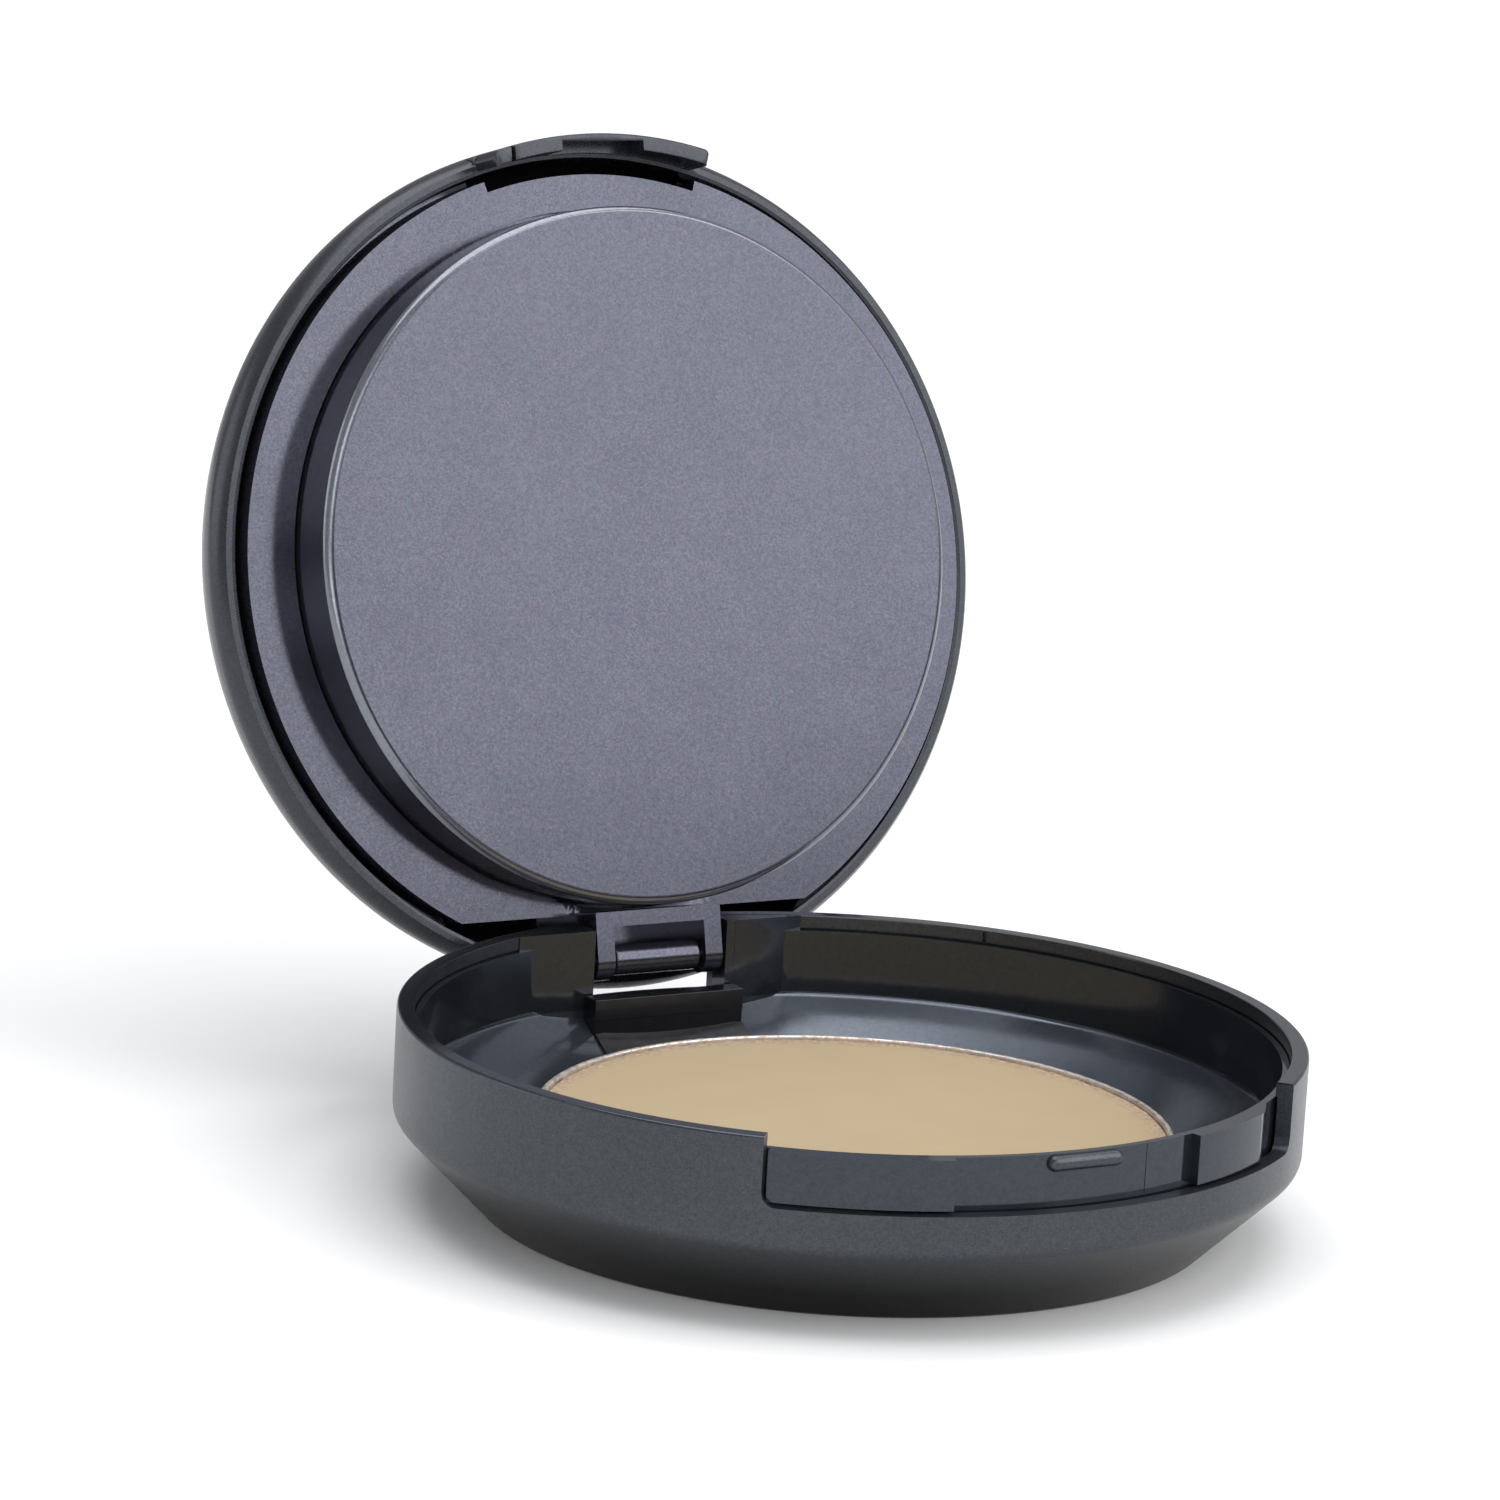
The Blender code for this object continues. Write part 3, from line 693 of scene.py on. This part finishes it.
def hinge_bracket(material):
    """Block in front of the hinge with a shallow crease, a rear foot and a thin black strip down the deck,
    a painted shade.
    """
    half = BRACKET_HALF
    front = box("bracket_body", (-half, BRACKET_Y, BRACKET_LOW_Z), (half, CHORD_Y - 0.3, BRACKET_Z))
    cut(front, box("crease", (-9, 33, 5), (9, BRACKET_Y + 0.1, BRACKET_CREASE_Z)))
    soften(front, 0.5, 4, angle=60)
    foot = NOTCH_HALF - 0.3
    join(front, box("foot", (-foot, BRACKET_Y + 1.2, NOTCH_Z + 0.3), (foot, 39.3, 10.1)))
    # Black strip on the deck in front of the bracket: a painted shade.
    line = [(r, DECK_IN_Z + DECK_SLOPE * (r - DECK_IN_R)) for r in SHADE_STRIP]
    strip = [(r, z + 0.04) for r, z in line] + [(r, z + 0.3) for r, z in reversed(line)]
    shade_strip = lathe("shade_strip", strip, closed=True)
    side = half - 0.05
    boolean(shade_strip, 'INTERSECT', box("shade_strip_width", (-side, 20, 0), (side, 36, 20)))
    join(front, shade_strip)
    return place(front, "base", "hinge_bracket", material)


def powder_pan(material):
    """Pressed aluminium dish with a rounded rim."""
    top, floor_z, inside = PAN_TOP, PAN_FLOOR_Z, PAN_R - 0.6
    points = [(0, floor_z + 0.4), (inside - 0.3, floor_z + 0.4, 0.4), (inside, floor_z + 1.0, 0.3),
              (inside, top, 0.2), (PAN_R, top, 0.25), (PAN_R, floor_z + 0.7, 0.3),
              (PAN_R - 0.7, floor_z, 0.3), (0, floor_z)]
    pan = lathe("powder_pan_body", rounded(points, 4), centre_y=PAN_Y)
    return place(pan, "base", "powder_pan", material)


def powder_cake(material):
    """Pressed cake: a flat top with a worn, crumbled border."""
    radius = PAN_R - 0.68
    top = PAN_TOP - 0.35
    bottom = PAN_FLOOR_Z + 0.75
    profile = [(0, top)]
    steps = 70
    for i in range(1, steps + 1):
        profile.append((radius * (i / steps) ** 0.6, top))
    profile += [(radius, bottom + 0.45), (radius - 0.6, bottom), (0, bottom)]
    cake = lathe("powder_cake_body", profile, centre_y=PAN_Y)
    for vert in cake.data.vertices:
        if vert.co.z < top - 0.01:
            continue
        r = math.hypot(vert.co.x, vert.co.y - PAN_Y)
        edge = max(0.0, min(1.0, (r - CRUMBLE_R) / 1.6))
        crumble = noise.fractal(Vector((vert.co.x, vert.co.y, 0)) * 1.3, 0.9, 2.1, 4)
        wide = noise.noise(Vector((vert.co.x, vert.co.y, 3)) * 0.12)
        vert.co.z += 0.015 * wide + edge * (0.10 * crumble + 0.03)
        if r > radius - 0.05:
            vert.co.z -= 0.12
    return place(cake, "base", "powder_cake", material, angle=60)


# ---------------------------------------------------------------- lid

def lid_side(start, end, count):
    """Outer curve of the lid's side between two angles; zero is the widest point."""
    points = []
    rise = LID_H - LID_DROP - LID_BELLY
    middle = CASE_R - SHOULDER_R
    low_half = LID_BELLY / math.sqrt(1 - ((LID_RIM_R - middle) / SHOULDER_R) ** 2)
    for i in range(count + 1):
        a = math.radians(start + (end - start) * i / count)
        half = rise if a > 0 else low_half
        points.append((middle + SHOULDER_R * math.cos(a), LID_Z + LID_BELLY + half * math.sin(a)))
    return points


def tab_corner(side):
    """What is cut away to round the outer upright corner at one end of the tab."""
    radius = TAB_CORNER_R
    inset = TAB_HALF - math.degrees(radius / CASE_R)
    columns = [(side * a, TAB_Z - 1.0, LID_Z + 0.25) for a in (inset, TAB_HALF + 0.02)]
    corner = arc_block("tab_corner", CASE_R - radius, CASE_R + 1.0, columns)
    x, y, _ = at_front(CASE_R - radius, side * inset, 0.0)
    post = rod("post", radius, (0, 0, 0), 10.0, sides=64)
    upright = Matrix.Rotation(math.pi / 2, 4, 'Y')
    post.data.transform(Matrix.Translation((x, y, LID_Z)) @ upright)
    return cut(corner, post)


def lid_shell(material):
    """Domed cover with a rounded side, a latch tab at the front and a relief over the hinge."""
    top = LID_Z + LID_H
    dome = CASE_R - SHOULDER_R
    points = [(0, top)]
    for radius in (6, 12, 18, 24, 30):
        points.append((radius, top - LID_DROP * (radius / dome) ** 2))
    points += lid_side(90, 0, 18)
    rim, roof = LID_Z + 0.02, LID_Z + 3.9
    tail = [(CASE_R, LID_Z + 1.5), (CASE_R, TAB_Z, 0.25), (TAB_IN_R, TAB_Z, 0.12), (TAB_IN_R, rim),
            (LID_BORE_R, rim, 0.12), (LID_BORE_R, roof)]
    points += rounded(tail, 3)
    for i in range(1, 7):
        a = math.radians(90 * i / 6)
        points.append((34.7 + 5.0 * math.cos(a), roof + 3.3 * math.sin(a)))
    points.append((0, top - 1.5))
    shell = lathe("lid_shell_body", points)
    belly = LID_Z + LID_BELLY + 0.02
    lowest = math.degrees(math.acos((LID_RIM_R - CASE_R + SHOULDER_R) / SHOULDER_R))
    below = lathe("below", [(38, TAB_Z - 1), (38, LID_Z)] + lid_side(-lowest, -0.5, 10)
                  + [(CASE_R + 0.02, belly), (44, belly), (44, TAB_Z - 1)], closed=True)
    wedge = arc_block("wedge", 30, 50, slot_columns(TAB_HALF, TAB_Z - 0.02, LID_Z + 3, 0.7, CASE_R))
    cut(below, wedge)
    cut(shell, below)
    half = POCKET_HALF
    cut(shell, box("pocket", (-half, -40.95, TAB_Z + 0.8), (half, -38.0, LID_Z - 0.9)),
        box("mouth", (-half, -40.75, TAB_Z - 1), (half, -38.0, TAB_Z + 0.9)),
        box("slit", (-10.0, -40.6, TAB_Z - 1), (-9.55, -37.0, TAB_Z + 1.0)),
        rod("relief", 4.75, (0, PIN_Y, PIN_Z), 17.0), tab_corner(-1), tab_corner(1))
    soften(shell, 0.12)
    return place(shell, "lid", "lid_shell", material, lid=True)


def hinge_tongue():
    """Prism that ends in a round about the pin, with a window for the barrel."""
    front = LID_CHORD_Y - 0.2
    root = GROOVE_Z + 0.6
    outline = [(front, root), (front, TONGUE_Z)]
    reach = PIN_Z - TONGUE_Z
    for i in range(17):
        a = math.radians(-90 + 170 * i / 16)
        outline.append((PIN_Y + reach * math.cos(a), PIN_Z + reach * math.sin(a)))
    outline.append((38.2, root))
    tongue = prism_x("tongue", outline, TONGUE_HALF)
    return cut(tongue, box("window", (-WINDOW_HALF, 35.25, 5), (WINDOW_HALF, 45, 30)))


def lid_plate(material, highlight_material):
    """Shelf, flange, stepped back and the hinge tongue."""
    top = GROOVE_Z + 1.0
    points = [(30, SHELF_Z), (30, top), (FLANGE_R, top), (FLANGE_R, GROOVE_Z), (SHELF_R, GROOVE_Z),
              (SHELF_R, SHELF_Z)]
    plate = lathe("lid_plate_body", points, closed=True)
    hole_r = PANEL_R + 0.3
    cut(plate, lathe("hole", [(0, 8), (hole_r, 8), (hole_r, 32), (0, 32)], centre_y=PANEL_Y))
    inside = SHELF_Z + WEB
    hollow = lathe("hollow", [(20, inside), (HOLLOW_R, inside), (HOLLOW_R, 25), (20, 25)], closed=True)
    cut(hollow, box("back", (-50, LID_CHORD_Y - WEB, 10), (50, 50, 30)))
    cut(plate, hollow)
    cut(plate, box("behind", (-50, LID_CHORD_Y, 5), (50, 50, GROOVE_Z)))
    behind = LID_CHORD_Y + 0.02
    cut(plate, box("open_left", (-50, behind, GROOVE_Z - 1), (-ROOT_HALF, 50, 25)))
    cut(plate, box("open_right", (ROOT_HALF, behind, GROOVE_Z - 1), (50, 50, 25)))
    half = TAB_HALF + 0.5
    cut(plate, arc_block("clearance", TAB_SHELF_R, 45, [(a, 5, GROOVE_Z + 1.5) for a in even(-half, half)]))
    join(plate, hinge_tongue())
    cut(plate, rod("bore", PIN_BORE_R, (0, PIN_Y, PIN_Z), 12))
    soften(plate, 0.16, 3)
    return place(plate, "lid", "lid_plate", material, lid=True, highlight_material=highlight_material)


def center_panel(material, highlight_material):
    """Raised disc whose rounded edge gets a brighter paint than its face, a painted highlight along the
    fillet.
    """
    back = SHELF_Z + 1.5
    inside = PANEL_R - 1.4
    flange = HOLLOW_R - 0.3 + PANEL_Y
    face_back, flange_top = PANEL_Z + PANEL_T, back + 1.2
    points = [(0, face_back), (inside, face_back, 0.5), (inside, flange_top), (flange, flange_top),
              (flange, back), (PANEL_R, back), (PANEL_R, PANEL_Z, PANEL_EDGE_R), (0, PANEL_Z)]
    panel = lathe("lid_center_panel_body", rounded(points, 10), centre_y=PANEL_Y)
    cut(panel, box("flange", (-20, LID_CHORD_Y - 1.5, back - 0.05), (20, 50, back + 5)))
    two_slots(panel)
    # The fillet's faces take the second paint: a painted highlight.
    for face in panel.data.polygons:
        low = face.center.z < PANEL_Z + PANEL_EDGE_R + 0.01
        face.material_index = 1 if low and -0.97 < face.normal.z < -0.17 else 0
    return place(panel, "lid", "lid_center_panel", material, lid=True, highlight_material=highlight_material)


def barrel(material):
    """Sleeve on the pin in the tongue's window."""
    points = [(PIN_BORE_R, -BARREL_HALF), (BARREL_R, -BARREL_HALF, 0.35), (BARREL_R, BARREL_HALF, 0.35),
              (PIN_BORE_R, BARREL_HALF)]
    piece = lathe("hinge_barrel_body", rounded(points, 4), closed=True, segments=96)
    along_x = Matrix.Rotation(math.pi / 2, 4, 'Y')
    piece.data.transform(Matrix.Translation((0, PIN_Y, PIN_Z)) @ along_x)
    return place(piece, "lid", "hinge_barrel", material, lid=True)


# ---------------------------------------------------------------- studio

def floor():
    """Wide sheet of pale paper that the compact stands on."""
    n = Nodes("floor_paper")
    colour = n.mix(n.noise(40.0, 3.0), (0.80, 0.80, 0.80), (0.84, 0.84, 0.84))
    n.set(Base_Color=colour, Roughness=0.9, Specular_IOR_Level=0.1,
          Normal=n.bump(n.noise(1.0), 0.05, 0.02))
    bm = bmesh.new()
    bmesh.ops.create_grid(bm, x_segments=8, y_segments=8, size=6.0)
    obj = new_object("floor", bm)
    obj.data.materials.append(n.mat)


def area_light(name, azimuth, elevation, width, height, power):
    """A soft panel aimed at the compact; azimuth 0 is in front (-Y), 90 is at +X."""
    light = bpy.data.lights.new(name, 'AREA')
    light.shape = 'RECTANGLE'
    light.size = width
    light.size_y = height
    light.energy = power
    obj = bpy.data.objects.new(name, light)
    bpy.context.scene.collection.objects.link(obj)
    a, e = math.radians(azimuth), math.radians(elevation)
    away = Vector((math.sin(a) * math.cos(e), -math.cos(a) * math.cos(e), math.sin(e)))
    obj.location = away * LIGHT_DISTANCE + Vector((0, 0, LIGHT_AIM_Z))
    obj.rotation_euler = away.to_track_quat('Z', 'Y').to_euler()


def studio():
    """Soft panels in a pale, faintly cool room."""
    world = bpy.data.worlds.new("studio")
    bpy.context.scene.world = world
    world.use_nodes = True
    background = world.node_tree.nodes["Background"]
    background.inputs["Color"].default_value = (0.95, 0.97, 1.0, 1.0)
    background.inputs["Strength"].default_value = 0.45
    for name, values in LIGHTS.items():
        area_light(name, *values)
    bpy.context.scene.view_settings.view_transform = 'Standard'


def camera():
    """Camera with a slight roll, set in front and to the left of the compact."""
    data = bpy.data.cameras.new("camera")
    data.angle = CAMERA_ANGLE
    data.clip_start = 0.01
    obj = bpy.data.objects.new("camera", data)
    bpy.context.scene.collection.objects.link(obj)
    forward = Vector(CAMERA_TOWARDS).normalized()
    level = forward.cross(Vector((0, 0, 1))).normalized()
    upright = level.cross(forward)
    cosine, sine = math.cos(CAMERA_ROLL), math.sin(CAMERA_ROLL)
    right = level * cosine + upright * sine
    up = upright * cosine - level * sine
    matrix = Matrix((right, up, -forward)).transposed().to_4x4()
    matrix.translation = Vector(CAMERA_AT) + Vector((0, MID_Y, 0))
    obj.matrix_world = matrix
    bpy.context.scene.camera = obj


# ---------------------------------------------------------------- the compact

# low: painted shade that darkens the case's sloping underside towards the floor.
case = paint("case_paint", (0.055, 0.062, 0.070), (0.061, 0.067, 0.077), roughness=0.34, grain=0.18,
             low=CREASE_Z * MM, rim=(BASE_H - 0.2) * MM)
# deck: painted reflection of light, the deck below the ring wall 2.1 times brighter.
inner = paint("inner_paint", (0.046, 0.052, 0.062), (0.050, 0.057, 0.069), roughness=0.10,
              deck=DECK_OUT_Z * MM)
lid_paint = paint("lid_paint", (0.046, 0.050, 0.057), (0.052, 0.054, 0.064), roughness=0.28)
plate_paint = paint("plate_paint", (0.057, 0.064, 0.087), (0.069, 0.066, 0.089), roughness=0.17,
                    grain=0.26, coat=0.25)
# Lighter paints for bevels and fillets: painted highlights along the edges.
inner_highlight = paint("inner_edge_paint", (0.13, 0.14, 0.15), (0.15, 0.155, 0.17), roughness=0.2)
plate_highlight = paint("plate_edge_paint", (0.13, 0.14, 0.17), (0.15, 0.155, 0.19), roughness=0.2)
panel_highlight = paint("edge_paint", (0.17, 0.18, 0.21), (0.19, 0.20, 0.23), roughness=0.22, coat=0.25)
bracket_gloss = gloss_plastic("bracket_black", (0.006, 0.006, 0.008))

base_shell(case)
inner_frame(inner, inner_highlight)
latch_nub(case)
hinge_bracket(bracket_gloss)
powder_pan(pan_metal("pan_aluminium"))
powder_cake(powder("pressed_powder"))
lid_shell(lid_paint)
lid_plate(plate_paint, plate_highlight)
center_panel(plate_paint, panel_highlight)
barrel(plate_paint)

# The hidden pieces keep the CAD's shape and only get a material
cad_materials = {"hinge_pin": steel("pin_steel"),
                 "pan_adhesive": film("tape_white", (0.7, 0.7, 0.66)),
                 "bottom_label": film("label_dark", (0.03, 0.03, 0.035))}
for node, material in cad_materials.items():
    frame["nodes"][node].data.materials.clear()
    frame["nodes"][node].data.materials.append(material)

floor()
studio()
camera()
